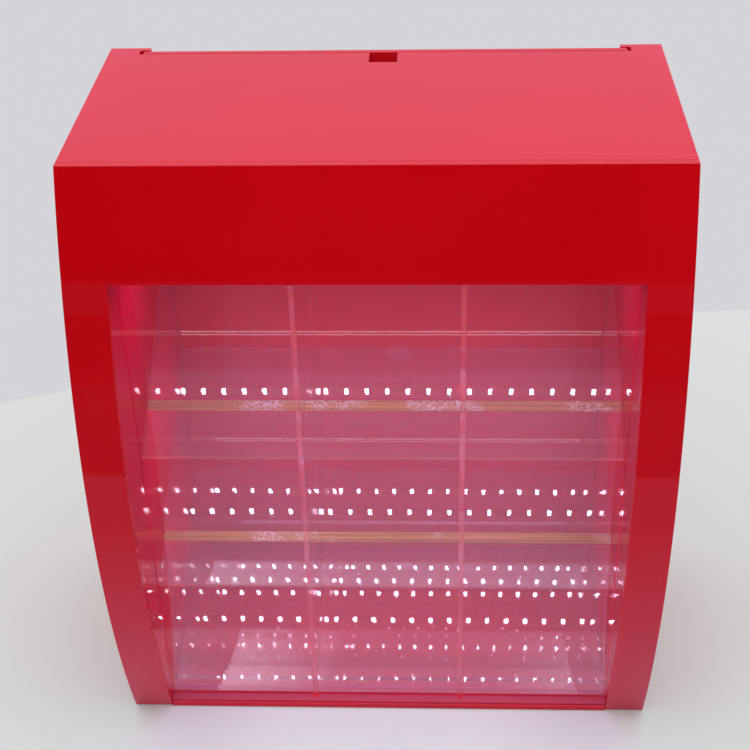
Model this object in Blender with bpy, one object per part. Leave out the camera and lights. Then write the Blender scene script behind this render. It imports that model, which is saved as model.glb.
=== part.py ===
"""Lit table-top display box in red and clear acrylic.

A bowed red frame stands round an open window. Behind it are a flat clear sheet, three sloping
clear shelves with upright dividers, and strips of white lights under the shelves. The red door
at the back lifts straight up out of two grooves.

Units are metres and +Z is up. Depths are measured back from the top front edge of the case, and
the empty called case_origin then puts the middle of the base at the world's origin.
"""
import math

import bmesh
import bpy
from mathutils import Vector

# Outer case
WIDTH = 0.400
HEIGHT = 0.470
DEPTH = 0.198              # top front edge to the back of the door's grooves
BOW = 0.044                # swell of the front at half height
RED_SHEET = 0.005
CLEAR_SHEET = 0.004
SEAT = 0.0003              # gap between glued faces

# Bowed frame round the window
LEG = 0.0293
BAND = 0.0725
FLOOR_LIP = 0.001          # the floor's front edge stands this far ahead of the top front edge
REBATE = 0.0035            # depth of the rebate in the floor for the clear sheets' feet

# Grooves and door at the back
LIP_COVER = 0.0298         # width of the strip behind each groove
GROOVE_BITE = 0.0071       # how far a groove reaches sideways past the inside of its strip
GROOVE_GAP = 0.0073
DOOR_SIDE_PLAY = 0.0008
DOOR_FRONT_PLAY = 0.0006
DOOR_CORNER = 0.004
NOTCH_WIDTH = 0.020
NOTCH_DEPTH = 0.018

# Clear front sheet and the clear plate that carries the top lights
WINDOW_FOOT = 0.0057       # depth of the sheet's front face at its foot
WINDOW_LEAN = math.radians(0.7)
PLATE_RISE = 0.007         # underside of the plate above the window's upper edge
PLATE_REAR = 0.094

# Sloping shelves and upright dividers
SHELF_SLOPE = math.radians(29.5)
TOP_TIER = 0.1675          # from the top shelf's line up to the plate, at the top front edge
BOTTOM_DIP = 0.0065        # the bottom shelf's line starts this far below the base
SHELF_REAR_GAP = 0.0008
SHELF_NOSE = 0.0006        # blunt front edge of the bottom shelf
COLUMNS = 3
DIVIDER_REAR_GAP = 0.014

# Light tapes
TAPE_SETBACK = 0.046
TAPE_WIDTH = 0.008
TAPE_FILM = 0.0004
TAPE_SHIFT = {"top": -0.0018, "middle": -0.0010, "bottom": -0.0005}
CHIP_LENGTH = 0.0035
CHIP_WIDTH = 0.0028
CHIP_HEIGHT = 0.0016
CHIP_PITCH = 0.01667
TAPE_SLOT_WIDTH = 0.013    # notch in a divider's upper edge that lets the tape pass
TAPE_SLOT_DEPTH = 0.0035

# Power inlet and the leads to the tapes
JACK_HEIGHT = 0.040
JACK_BARREL = 0.011
JACK_LENGTH = 0.022
JACK_FLANGE = 0.014
JACK_FLANGE_THICKNESS = 0.0018
JACK_SOCKET = 0.0055
JACK_SOCKET_DEPTH = 0.009
JACK_PIN = 0.0021
NUT_ACROSS = 0.014
NUT_THICKNESS = 0.003
LEAD = 0.002
LEAD_HOLE = 0.004
LEAD_LANE = 0.005          # sideways spacing of the leads in the hollow side
LEAD_END_SPACING = 0.0032
LEAD_STRAIGHT = 0.006

# Fineness of the curves
ARC_STEPS = 48
CORNER_STEPS = 6
ROUND_STEPS = 32
LEAD_POINTS = 72

# Sizes that follow from those above
HALF_WIDTH = WIDTH / 2
HALF_INSIDE = HALF_WIDTH - LEG
PLATE_WIDTH = 2 * (HALF_INSIDE - SEAT)
FLOOR_TOP = RED_SHEET
FOOT = FLOOR_TOP - REBATE + SEAT
CEILING = HEIGHT - RED_SHEET
WINDOW_TOP = HEIGHT - BAND
PLATE_UNDER = WINDOW_TOP + PLATE_RISE
BOW_RADIUS = (HEIGHT ** 2 / 4 + BOW ** 2) / (2 * BOW)
STRIP_FRONT = DEPTH - RED_SHEET
GROOVE_FRONT = STRIP_FRONT - GROOVE_GAP
GROOVE_SIDE = HALF_WIDTH - LIP_COVER + GROOVE_BITE
DOOR_FRONT = GROOVE_FRONT + DOOR_FRONT_PLAY
JACK_FACE = DEPTH + SEAT
REAR_MOST = JACK_FACE + JACK_FLANGE_THICKNESS
SLOPE = math.tan(SHELF_SLOPE)
SHELF_DROP = CLEAR_SHEET / math.cos(SHELF_SLOPE)
TOP_SHELF = PLATE_UNDER - TOP_TIER
BOTTOM_SHELF = -BOTTOM_DIP
MIDDLE_SHELF = (TOP_SHELF + BOTTOM_SHELF) / 2

RED = {"colour": (0.68, 0.012, 0.022), "roughness": 0.08, "transmission": 0.0}
CLEAR = {"colour": (0.97, 0.99, 0.98), "roughness": 0.02, "transmission": 1.0}
FILM = {"colour": (0.62, 0.38, 0.16), "roughness": 0.45, "transmission": 0.0}
BLACK = {"colour": (0.02, 0.02, 0.02), "roughness": 0.4, "transmission": 0.0}
NICKEL = {"colour": (0.75, 0.74, 0.72), "roughness": 0.25, "transmission": 0.0, "metallic": 1.0}


def clear_scene():
    """Remove what the scene holds at the start."""
    for old in list(bpy.data.objects):
        bpy.data.objects.remove(old, do_unlink=True)


def finish(name, look):
    """One Principled material for one piece."""
    material = bpy.data.materials.new(name)
    material.use_nodes = True
    shader = material.node_tree.nodes["Principled BSDF"]
    shader.inputs["Base Color"].default_value = (*look["colour"], 1.0)
    shader.inputs["Roughness"].default_value = look["roughness"]
    shader.inputs["Transmission Weight"].default_value = look["transmission"]
    shader.inputs["Metallic"].default_value = look.get("metallic", 0.0)
    material.diffuse_color = (*look["colour"], 1.0 - 0.7 * look["transmission"])
    return material


def empty(name, place, parent=None):
    """An empty that carries other objects."""
    carrier = bpy.data.objects.new(name, None)
    carrier.location = place
    carrier.parent = parent
    bpy.context.collection.objects.link(carrier)
    return carrier


def piece(name, shape, look, parent, place=(0, 0, 0), turn=(0, 0, 0)):
    """Put a finished bmesh into the scene as one named object with its own material."""
    bmesh.ops.recalc_face_normals(shape, faces=shape.faces)
    mesh = bpy.data.meshes.new(name)
    shape.to_mesh(mesh)
    shape.free()
    mesh.materials.append(finish(name, look))
    item = bpy.data.objects.new(name, mesh)
    item.location = place
    item.rotation_euler = turn
    item.parent = parent
    bpy.context.collection.objects.link(item)
    return item


def cut(item, cutter):
    """Take a cutter away from a piece."""
    cutter.hide_render = True
    cutter.display_type = "WIRE"
    tool = item.modifiers.new("cut by " + cutter.name, "BOOLEAN")
    tool.operation = "DIFFERENCE"
    tool.solver = "EXACT"
    tool.object = cutter


def block(size, centre=(0, 0, 0)):
    """A box of the given size about a centre."""
    shape = bmesh.new()
    bmesh.ops.create_cube(shape, size=1.0)
    bmesh.ops.scale(shape, verts=shape.verts, vec=size)
    bmesh.ops.translate(shape, verts=shape.verts, vec=centre)
    return shape


def extruded(outline, along, thickness):
    """Extrude an outline. along x reads its points as (y, z), and along y as (x, z)."""
    shape = bmesh.new()
    to_space = {"x": lambda a, b: (0.0, a, b), "y": lambda a, b: (a, 0.0, b)}[along]
    step = {"x": (thickness, 0, 0), "y": (0, thickness, 0)}[along]
    face = shape.faces.new([shape.verts.new(to_space(a, b)) for a, b in outline])
    grown = bmesh.ops.extrude_face_region(shape, geom=[face])
    moved = [part for part in grown["geom"] if isinstance(part, bmesh.types.BMVert)]
    bmesh.ops.translate(shape, verts=moved, vec=step)
    return shape


def level_sheet(outline, bottom, top):
    """A level sheet from a plan of (x, y) points, where a y may be a function of height."""
    shape = bmesh.new()
    rings = []
    for height in (bottom, top):
        ring = []
        for x, y in outline:
            depth = y(height) if callable(y) else y
            ring.append(shape.verts.new((x, depth, height)))
        rings.append(ring)
    low, high = rings
    shape.faces.new(low)
    shape.faces.new(high)
    for index in range(len(outline)):
        following = (index + 1) % len(outline)
        shape.faces.new((low[index], low[following], high[following], high[index]))
    return shape


def turned(profile):
    """Turn a profile of (radius, y) points about the Y axis; a point of radius 0 is a pole."""
    shape = bmesh.new()
    rings = []
    for radius, y in profile:
        if radius == 0:
            rings.append([shape.verts.new((0, y, 0))])
            continue
        angles = [2 * math.pi * step / ROUND_STEPS for step in range(ROUND_STEPS)]
        rings.append([shape.verts.new((radius * math.cos(a), y, radius * math.sin(a)))
                      for a in angles])
    for first, second in zip(rings, rings[1:]):
        for step in range(ROUND_STEPS):
            following = (step + 1) % ROUND_STEPS
            corners = [first[step % len(first)], first[following % len(first)],
                       second[following % len(second)], second[step % len(second)]]
            shape.faces.new(list(dict.fromkeys(corners)))
    return shape


def smooth_turned(item):
    """Shade a turned piece round, with its steps kept sharp."""
    item.data.shade_smooth()
    item.data.set_sharp_from_angle(angle=math.radians(35))


def bow_depth(height, inset=0.0):
    """Depth of the bowed front at a height, or of a face that lies behind it by an inset."""
    radius = BOW_RADIUS - inset
    rise = height - HEIGHT / 2
    return BOW_RADIUS - BOW - math.sqrt(radius ** 2 - rise ** 2)


def bow_points(bottom, top, inset=0.0):
    """Points (y, z) up the bowed front."""
    heights = [bottom + (top - bottom) * step / ARC_STEPS for step in range(ARC_STEPS + 1)]
    return [(bow_depth(height, inset), height) for height in heights]


def behind_fascia(height):
    """Depth at which a piece seats against the back of the bowed frame."""
    return bow_depth(height, RED_SHEET + SEAT)


def shelf_line(shelf, depth):
    """Height of a shelf's upper face at a depth, from its height at the top front edge."""
    return shelf + SLOPE * depth


def window_back(height):
    """Depth of the clear front sheet's back face at a height."""
    return WINDOW_FOOT + CLEAR_SHEET - math.tan(WINDOW_LEAN) * (height - FOOT)


def shelf_front(shelf):
    """Depth of a shelf's front edge, which butts on the back of the clear front sheet."""
    return window_back(shelf_line(shelf, window_back(shelf))) + 1.5 * SEAT


def nose_depth():
    """Depth of the bottom shelf's blunt front edge, where it comes down into the rebate."""
    return (FOOT + SHELF_NOSE - BOTTOM_SHELF) / SLOPE


def make_fascia(case):
    """Bowed sheet with the window cut out of it, which leaves two legs and a deep top band."""
    outline = bow_points(0, HEIGHT) + bow_points(0, HEIGHT, RED_SHEET)[::-1]
    shape = extruded(outline, "x", WIDTH)
    fascia = piece("fascia_front", shape, RED, case, place=(-HALF_WIDTH, 0, 0))
    spare = 2 * BOW
    hole = block((2 * HALF_INSIDE, 4 * spare, WINDOW_TOP + spare))
    centre = (0, 0, (WINDOW_TOP - spare) / 2)
    cut(fascia, piece("window_cutter", hole, RED, case, place=centre))


def make_top_panel(case):
    """Top sheet with ears behind the grooves and a finger notch ahead of the door."""
    inside_lip = HALF_WIDTH - LIP_COVER
    half_notch = NOTCH_WIDTH / 2
    notch_front = GROOVE_FRONT - NOTCH_DEPTH
    right = [
        (HALF_WIDTH, behind_fascia),
        (HALF_WIDTH, DEPTH),
        (inside_lip, DEPTH),
        (inside_lip, STRIP_FRONT),
        (GROOVE_SIDE, STRIP_FRONT),
        (GROOVE_SIDE, GROOVE_FRONT),
        (half_notch, GROOVE_FRONT),
        (half_notch, notch_front),
    ]
    left = [(-x, y) for x, y in reversed(right)]
    piece("top_panel", level_sheet(right + left, CEILING, HEIGHT), RED, case)


def make_bottom_panel(case):
    """Floor between the side panels, with a tongue that comes forward between the legs and a
    rebate for the feet of the clear front sheet and the bottom shelf."""
    half_floor = HALF_WIDTH - RED_SHEET - SEAT
    half_tongue = HALF_INSIDE - SEAT
    rear = STRIP_FRONT - SEAT
    right = [
        (half_tongue, -FLOOR_LIP),
        (half_tongue, behind_fascia),
        (half_floor, behind_fascia),
        (half_floor, rear),
    ]
    left = [(-x, y) for x, y in reversed(right)]
    floor = piece("bottom_panel", level_sheet(right + left, 0, FLOOR_TOP), RED, case)
    front = WINDOW_FOOT - SEAT
    back = (FLOOR_TOP + SEAT + SHELF_DROP - BOTTOM_SHELF) / SLOPE + SEAT
    bottom = FLOOR_TOP - REBATE
    top = FLOOR_TOP + REBATE
    pocket = block((2 * HALF_INSIDE, back - front, top - bottom))
    centre = (0, (front + back) / 2, (top + bottom) / 2)
    cut(floor, piece("rebate_cutter", pocket, RED, case, place=centre))


def make_side_panels(case):
    """Outer side sheets, with the front edge bowed to fit behind the frame."""
    top = CEILING - SEAT
    rear = STRIP_FRONT - SEAT
    outline = bow_points(0, top, RED_SHEET + SEAT) + [(rear, top), (rear, 0)]
    for side, start in (("left", -HALF_WIDTH), ("right", HALF_WIDTH - RED_SHEET)):
        shape = extruded(outline, "x", RED_SHEET)
        piece("side_panel_" + side, shape, RED, case, place=(start, 0, 0))


def make_inner_sides(case, tapes):
    """Inner side sheets; the right one has a hole for each lead. Their rear edge is the front
    wall of the door's groove."""
    bottom = FLOOR_TOP + SEAT
    top = CEILING - SEAT
    rear = GROOVE_FRONT
    outline = bow_points(bottom, top, RED_SHEET + SEAT) + [(rear, top), (rear, bottom)]
    for side, start in (("left", -HALF_INSIDE - RED_SHEET), ("right", HALF_INSIDE)):
        shape = extruded(outline, "x", RED_SHEET)
        item = piece("inner_side_" + side, shape, RED, case, place=(start, 0, 0))
        if side == "left":
            continue
        for tape, (depth, height) in tapes.items():
            drill = round_bar(LEAD_HOLE, 4 * RED_SHEET)
            place = (HALF_INSIDE + RED_SHEET / 2, depth, height)
            turn = (0, 0, math.pi / 2)
            cut(item, piece("lead_drill_" + tape, drill, RED, case, place=place, turn=turn))


def round_bar(diameter, length):
    """A round bar about the Y axis, with its middle at the origin."""
    radius = diameter / 2
    half = length / 2
    return turned([(0, -half), (radius, -half), (radius, half), (0, half)])


def make_rear_frame(case):
    """Behind the grooves a strip on each side, and in each groove the spacer that ends it."""
    top = CEILING - SEAT
    low = FLOOR_TOP + SEAT
    spacer_width = HALF_WIDTH - RED_SHEET - SEAT - GROOVE_SIDE
    spacer_depth = GROOVE_GAP - SEAT
    items = {}
    for side, sign in (("left", -1), ("right", 1)):
        strip = block((LIP_COVER, RED_SHEET, top))
        strip_place = (sign * (HALF_WIDTH - LIP_COVER / 2), DEPTH - RED_SHEET / 2, top / 2)
        items["strip_" + side] = piece("rear_strip_" + side, strip, RED, case, place=strip_place)
        spacer = block((spacer_width, spacer_depth, top - low))
        spacer_place = (sign * (GROOVE_SIDE + spacer_width / 2),
                        GROOVE_FRONT + spacer_depth / 2, (top + low) / 2)
        items["spacer_" + side] = piece("groove_spacer_" + side, spacer, RED, case,
                                        place=spacer_place)
    bore = round_bar(JACK_BARREL + 2 * SEAT, 4 * JACK_LENGTH)
    drill = piece("jack_drill", bore, RED, case, place=jack_centre())
    cut(items["strip_right"], drill)
    cut(items["spacer_right"], drill)


def make_door(case):
    """Rear door with eased upper corners. It hangs from an empty on its line of travel."""
    half = GROOVE_SIDE - DOOR_SIDE_PLAY
    foot = FLOOR_TOP + SEAT
    tall = HEIGHT - foot
    corner = [(half - DOOR_CORNER + DOOR_CORNER * math.cos(a),
               tall - DOOR_CORNER + DOOR_CORNER * math.sin(a))
              for a in (math.pi / 2 * step / CORNER_STEPS for step in range(CORNER_STEPS + 1))]
    right = [(half, 0)] + corner
    left = [(-x, z) for x, z in reversed(right)]
    slide = empty("door_slide", (0, DOOR_FRONT, foot), case)
    piece("rear_door", extruded(right + left, "y", RED_SHEET), RED, slide)


def make_window(case):
    """Flat clear sheet that stands in the floor's rebate and leans forward a little."""
    rise = CLEAR_SHEET * math.sin(WINDOW_LEAN)
    tall = (PLATE_UNDER - SEAT - FOOT - rise) / math.cos(WINDOW_LEAN)
    sheet = block((PLATE_WIDTH, CLEAR_SHEET, tall), (0, CLEAR_SHEET / 2, tall / 2))
    piece("front_window", sheet, CLEAR, case, place=(0, WINDOW_FOOT, FOOT),
          turn=(WINDOW_LEAN, 0, 0))


def make_light_plate(case):
    """Level clear plate over the window's upper edge, which carries the top tape."""
    front = window_back(PLATE_UNDER) - CLEAR_SHEET
    depth = PLATE_REAR - front
    plate = block((PLATE_WIDTH, depth, CLEAR_SHEET), (0, depth / 2, CLEAR_SHEET / 2))
    piece("light_plate", plate, CLEAR, case, place=(0, front, PLATE_UNDER))


def make_shelves(case):
    """Three clear shelves that rise to the back. The two upper ones butt on the front sheet, and
    the lowest one is cut level at its foot to stand in the floor's rebate."""
    rear = GROOVE_FRONT - SHELF_REAR_GAP
    square_back = CLEAR_SHEET * math.sin(SHELF_SLOPE)
    square_drop = CLEAR_SHEET * math.cos(SHELF_SLOPE)
    for tier, shelf in (("top", TOP_SHELF), ("middle", MIDDLE_SHELF), ("bottom", BOTTOM_SHELF)):
        if tier == "bottom":
            nose = nose_depth()
            leaves_floor = (FOOT - BOTTOM_SHELF + SHELF_DROP) / SLOPE
            front = [(leaves_floor, FOOT), (nose, FOOT), (nose, FOOT + SHELF_NOSE)]
        else:
            edge = shelf_front(shelf)
            corner = shelf_line(shelf, edge)
            front = [(edge + square_back, corner - square_drop), (edge, corner)]
        upper = shelf_line(shelf, rear)
        outline = front + [(rear, upper), (rear, upper - SHELF_DROP)]
        piece("shelf_" + tier, extruded(outline, "x", PLATE_WIDTH), CLEAR, case,
              place=(-PLATE_WIDTH / 2, 0, 0))


def sloping_underside(shelf, front, rear):
    """Upper edge of a divider under a shelf, from the rear to the front, with the tape's slot."""
    under = shelf - SHELF_DROP - SEAT / math.cos(SHELF_SLOPE)
    half_slot = TAPE_SLOT_WIDTH / 2 * math.cos(SHELF_SLOPE)
    points = [(rear, 0), (TAPE_SETBACK + half_slot, 0), (TAPE_SETBACK + half_slot, 1),
              (TAPE_SETBACK - half_slot, 1), (TAPE_SETBACK - half_slot, 0), (front, 0)]
    return [(depth, shelf_line(under, depth) - TAPE_SLOT_DEPTH * down) for depth, down in points]


def level_underside(front, rear):
    """Upper edge of a divider under the light plate, with the tape's slot."""
    under = PLATE_UNDER - SEAT
    half_slot = TAPE_SLOT_WIDTH / 2
    points = [(rear, 0), (TAPE_SETBACK + half_slot, 0), (TAPE_SETBACK + half_slot, 1),
              (TAPE_SETBACK - half_slot, 1), (TAPE_SETBACK - half_slot, 0), (front, 0)]
    return [(depth, under - TAPE_SLOT_DEPTH * down) for depth, down in points]


def make_dividers(case):
    """Upright clear plates that stand on each shelf and part a tier into equal columns."""
    rear = GROOVE_FRONT - DIVIDER_REAR_GAP
    lift = SEAT / math.cos(SHELF_SLOPE)
    tiers = {}
    for tier, shelf, above in (("top", TOP_SHELF, None), ("middle", MIDDLE_SHELF, TOP_SHELF)):
        front = window_back(shelf) + SEAT
        lower = [(front, shelf_line(shelf, front) + lift), (rear, shelf_line(shelf, rear) + lift)]
        if above is None:
            upper = level_underside(front, rear)
        else:
            upper = sloping_underside(above, front, rear)
        tiers[tier] = lower + upper
    front = window_back(FOOT) + SEAT
    before_nose = nose_depth() - SEAT
    lower = [(front, FOOT), (before_nose, FOOT),
             (before_nose, shelf_line(BOTTOM_SHELF, before_nose) + lift),
             (rear, shelf_line(BOTTOM_SHELF, rear) + lift)]
    tiers["bottom"] = lower + sloping_underside(MIDDLE_SHELF, front, rear)
    column = 2 * HALF_INSIDE / COLUMNS
    names = {-1: "left", 1: "right"}
    for tier, outline in tiers.items():
        for line in range(1, COLUMNS):
            centre = line * column - HALF_INSIDE
            name = "divider_" + tier + "_" + names.get(2 * line - COLUMNS, str(line))
            shape = extruded(outline, "x", CLEAR_SHEET)
            piece(name, shape, CLEAR, case, place=(centre - CLEAR_SHEET / 2, 0, 0))


def tape_places():
    """Depth and height of the middle of each tape's film, by tier."""
    below = SEAT + TAPE_FILM / 2
    under_shelf = (CLEAR_SHEET + below) / math.cos(SHELF_SLOPE)
    return {"top": (TAPE_SETBACK, PLATE_UNDER - below),
            "middle": (TAPE_SETBACK, shelf_line(TOP_SHELF, TAPE_SETBACK) - under_shelf),
            "bottom": (TAPE_SETBACK, shelf_line(MIDDLE_SHELF, TAPE_SETBACK) - under_shelf)}


def tape_shape(shift):
    """A light tape: a film with a row of chips that grow out of its underside. The row lies a
    shift to one side of the middle, as the tape was cut."""
    chips = int((PLATE_WIDTH - CHIP_LENGTH) / CHIP_PITCH) + 1
    half_film = PLATE_WIDTH / 2
    cuts = [-half_film]
    for chip in range(chips):
        middle = (chip - (chips - 1) / 2) * CHIP_PITCH + shift
        cuts += [middle - CHIP_LENGTH / 2, middle + CHIP_LENGTH / 2]
    cuts.append(half_film)
    lanes = [-TAPE_WIDTH / 2, -CHIP_WIDTH / 2, CHIP_WIDTH / 2, TAPE_WIDTH / 2]
    shape = bmesh.new()
    grid = [[shape.verts.new((x, y, -TAPE_FILM / 2)) for y in lanes] for x in cuts]
    under = {}
    for i in range(len(cuts) - 1):
        for j in range(len(lanes) - 1):
            corners = (grid[i][j], grid[i][j + 1], grid[i + 1][j + 1], grid[i + 1][j])
            under[i, j] = shape.faces.new(corners)
    grown = bmesh.ops.extrude_face_region(shape, geom=list(under.values()), use_keep_orig=True)
    upper = [part for part in grown["geom"] if isinstance(part, bmesh.types.BMVert)]
    bmesh.ops.translate(shape, verts=upper, vec=(0, 0, TAPE_FILM))
    seats = [under[2 * chip + 1, 1] for chip in range(chips)]
    raised = bmesh.ops.extrude_discrete_faces(shape, faces=seats)
    for face in raised["faces"]:
        bmesh.ops.translate(shape, verts=face.verts, vec=(0, 0, -CHIP_HEIGHT))
    return shape


def make_tapes(case, tapes):
    """Three light tapes, gummed under the light plate and the two upper shelves."""
    for tier, (depth, height) in tapes.items():
        tilt = 0.0 if tier == "top" else SHELF_SLOPE
        piece("led_tape_" + tier, tape_shape(TAPE_SHIFT[tier]), FILM, case, place=(0, depth, height),
              turn=(tilt, 0, 0))


def jack_centre():
    """Where the power inlet's axis meets the back of its strip."""
    middle = (GROOVE_SIDE + HALF_WIDTH - RED_SHEET - SEAT) / 2
    return (middle, DEPTH, JACK_HEIGHT)


def make_jack(case):
    """Power inlet with a centre pin in its socket, and the ring nut that holds it."""
    x, _, z = jack_centre()
    face = JACK_FLANGE_THICKNESS
    inner_end = -JACK_LENGTH
    pin_tip = face - JACK_FLANGE_THICKNESS / 2
    profile = [
        (0, inner_end),
        (JACK_BARREL / 2, inner_end),
        (JACK_BARREL / 2, 0),
        (JACK_FLANGE / 2, 0),
        (JACK_FLANGE / 2, face),
        (JACK_SOCKET / 2, face),
        (JACK_SOCKET / 2, face - JACK_SOCKET_DEPTH),
        (JACK_PIN / 2, face - JACK_SOCKET_DEPTH),
        (JACK_PIN / 2, pin_tip),
        (0, pin_tip),
    ]
    jack = piece("power_jack", turned(profile), BLACK, case, place=(x, JACK_FACE, z))
    smooth_turned(jack)
    seat = GROOVE_FRONT - SEAT
    corner = NUT_ACROSS / 2 / math.cos(math.pi / 6)
    angles = [math.pi / 3 * step for step in range(6)]
    outline = [(corner * math.cos(a), corner * math.sin(a)) for a in angles]
    nut = piece("jack_nut", extruded(outline, "y", NUT_THICKNESS), NICKEL, case,
                place=(x, seat - NUT_THICKNESS, z))
    bore = round_bar(JACK_BARREL + 2 * SEAT, 4 * NUT_THICKNESS)
    cut(nut, piece("nut_drill", bore, NICKEL, case, place=(x, seat, z)))


def smooth_route(points, count):
    """Points evenly spaced along a smooth curve through the given points."""
    ends = [points[0] * 2 - points[1]] + points + [points[-1] * 2 - points[-2]]
    fine = []
    pieces = 40
    for a, b, c, d in zip(ends, ends[1:], ends[2:], ends[3:]):
        for step in range(pieces):
            t = step / pieces
            fine.append(0.5 * (2 * b + (c - a) * t + (2 * a - 5 * b + 4 * c - d) * t ** 2
                               + (3 * b - a - 3 * c + d) * t ** 3))
    fine.append(points[-1])
    travelled = [0.0]
    for first, second in zip(fine, fine[1:]):
        travelled.append(travelled[-1] + (second - first).length)
    route = []
    index = 0
    for step in range(count):
        target = travelled[-1] * step / (count - 1)
        while index < len(fine) - 2 and travelled[index + 1] < target:
            index += 1
        span = travelled[index + 1] - travelled[index]
        route.append(fine[index].lerp(fine[index + 1], (target - travelled[index]) / span))
    return route


def lead_route(lane, depth, height):
    """Route of one lead: through the inner side, back and down the hollow side to the inlet."""
    x, _, jack_z = jack_centre()
    lane_x = x + lane * LEAD_LANE
    end_x = x + lane * LEAD_END_SPACING
    jack_y = JACK_FACE - JACK_LENGTH - SEAT
    start_x = HALF_INSIDE
    drop = height - jack_z
    back = jack_y - depth
    return [
        Vector((start_x, depth, height)),
        Vector((start_x + LEAD, depth, height)),
        Vector((start_x + RED_SHEET, depth, height)),
        Vector((lane_x, depth + 0.06 * back, height - 0.05 * drop)),
        Vector((lane_x, depth + 0.38 * back, height - 0.42 * drop)),
        Vector((end_x, depth + 0.66 * back, jack_z + 0.15 * drop)),
        Vector((end_x, jack_y - 2 * LEAD_STRAIGHT, jack_z)),
        Vector((end_x, jack_y - LEAD_STRAIGHT, jack_z)),
        Vector((end_x, jack_y, jack_z)),
    ]


def make_leads(case, tapes):
    """A lead from each tape to the power inlet, each in its own lane so that none touch."""
    for lane, (tier, (depth, height)) in zip((-1, 0, 1), tapes.items()):
        curve = bpy.data.curves.new("lead_" + tier, "CURVE")
        curve.dimensions = "3D"
        curve.bevel_depth = LEAD / 2
        curve.bevel_resolution = 2
        curve.use_fill_caps = True
        spline = curve.splines.new("POLY")
        route = smooth_route(lead_route(lane, depth, height), LEAD_POINTS)
        spline.points.add(len(route) - 1)
        for point, place in zip(spline.points, route):
            point.co = (*place, 1.0)
        curve.materials.append(finish("lead_" + tier, BLACK))
        lead = bpy.data.objects.new("lead_" + tier, curve)
        lead.parent = case
        bpy.context.collection.objects.link(lead)


def build():
    """Make every piece of the box."""
    clear_scene()
    case = empty("case_origin", (0, (BOW - REAR_MOST) / 2, 0))
    tapes = tape_places()
    make_fascia(case)
    make_top_panel(case)
    make_bottom_panel(case)
    make_side_panels(case)
    make_inner_sides(case, tapes)
    make_rear_frame(case)
    make_door(case)
    make_window(case)
    make_light_plate(case)
    make_shelves(case)
    make_dividers(case)
    make_tapes(case, tapes)
    make_jack(case)
    make_leads(case, tapes)


build()
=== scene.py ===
"""Looks of the lit bow-front display box: red and clear acrylic, light tapes and a lift-out door.

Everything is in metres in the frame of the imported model: x to the right, -y out of the bowed
front, z up, with the origin under the middle of the base.
"""
import math

import bpy
import numpy as np
from mathutils import Matrix, Vector


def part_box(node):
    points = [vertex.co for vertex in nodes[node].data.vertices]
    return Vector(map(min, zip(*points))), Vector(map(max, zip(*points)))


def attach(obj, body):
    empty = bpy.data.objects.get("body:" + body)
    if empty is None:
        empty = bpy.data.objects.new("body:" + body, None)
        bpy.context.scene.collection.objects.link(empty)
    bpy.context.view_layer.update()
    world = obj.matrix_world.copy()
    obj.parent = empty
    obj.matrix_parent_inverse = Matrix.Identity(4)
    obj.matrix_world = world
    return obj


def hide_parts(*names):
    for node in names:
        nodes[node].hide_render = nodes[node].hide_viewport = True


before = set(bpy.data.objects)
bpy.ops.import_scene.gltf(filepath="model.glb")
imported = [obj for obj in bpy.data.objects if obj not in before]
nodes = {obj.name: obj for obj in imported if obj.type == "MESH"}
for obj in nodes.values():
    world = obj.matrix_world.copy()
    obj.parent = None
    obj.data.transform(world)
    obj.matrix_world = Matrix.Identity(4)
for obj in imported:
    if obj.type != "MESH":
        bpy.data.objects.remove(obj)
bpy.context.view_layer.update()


# The camera stands a little to the right of the middle, about 0.9 m ahead of the case and 0.4 m
# above its top, and looks down at it. Its lens and its turn were fitted to the case's corners.
EYE = Vector((0.04146, -0.91954, 0.87125))
YAW = math.radians(-3.0075)
PITCH = math.radians(33.456)
ROLL = math.radians(-1.5613)
LENS = 71.94


def camera_turn(yaw, pitch, roll):
    """Camera axes: forward from yaw and pitch, then right and up turned about it by the roll."""
    ahead = Vector((math.sin(yaw) * math.cos(pitch), math.cos(yaw) * math.cos(pitch),
                    -math.sin(pitch)))
    level = Vector((math.cos(yaw), -math.sin(yaw), 0))
    above = level.cross(ahead)
    right = level * math.cos(roll) + above * math.sin(roll)
    up = above * math.cos(roll) - level * math.sin(roll)
    return Matrix((right, up, -ahead)).transposed()


lens = bpy.data.cameras.new("camera")
lens.lens = LENS
lens.sensor_width = 36
camera = bpy.data.objects.new("camera", lens)
camera.matrix_world = Matrix.Translation(EYE) @ camera_turn(YAW, PITCH, ROLL).to_4x4()
bpy.context.scene.collection.objects.link(camera)
bpy.context.scene.camera = camera


# A pale table on which the case stands, with a plain pale wall of the same tone beyond its far
# edge. Wide soft light comes from above. The room ahead is dark at eye level. Gloss and clear
# sheets see painted shade on the table: dim ahead of the case and near black past a line ahead of
# it, which is what the bowed front mirrors.
TABLE_RIGHT = (0.610, 0.635, 0.630)
TABLE_LEFT = (0.615, 0.635, 0.620)
# Painted light: before the case the table is lighter and tinted cyan, against the pink light from
# the window and the red the case throws on it.
BESIDE_FRONT = (0.63, 0.68, 0.68)
BEFORE_FRONT = (0.700, 0.860, 0.785)
FURTHER_FRONT = (0.60, 0.61, 0.61)
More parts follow.
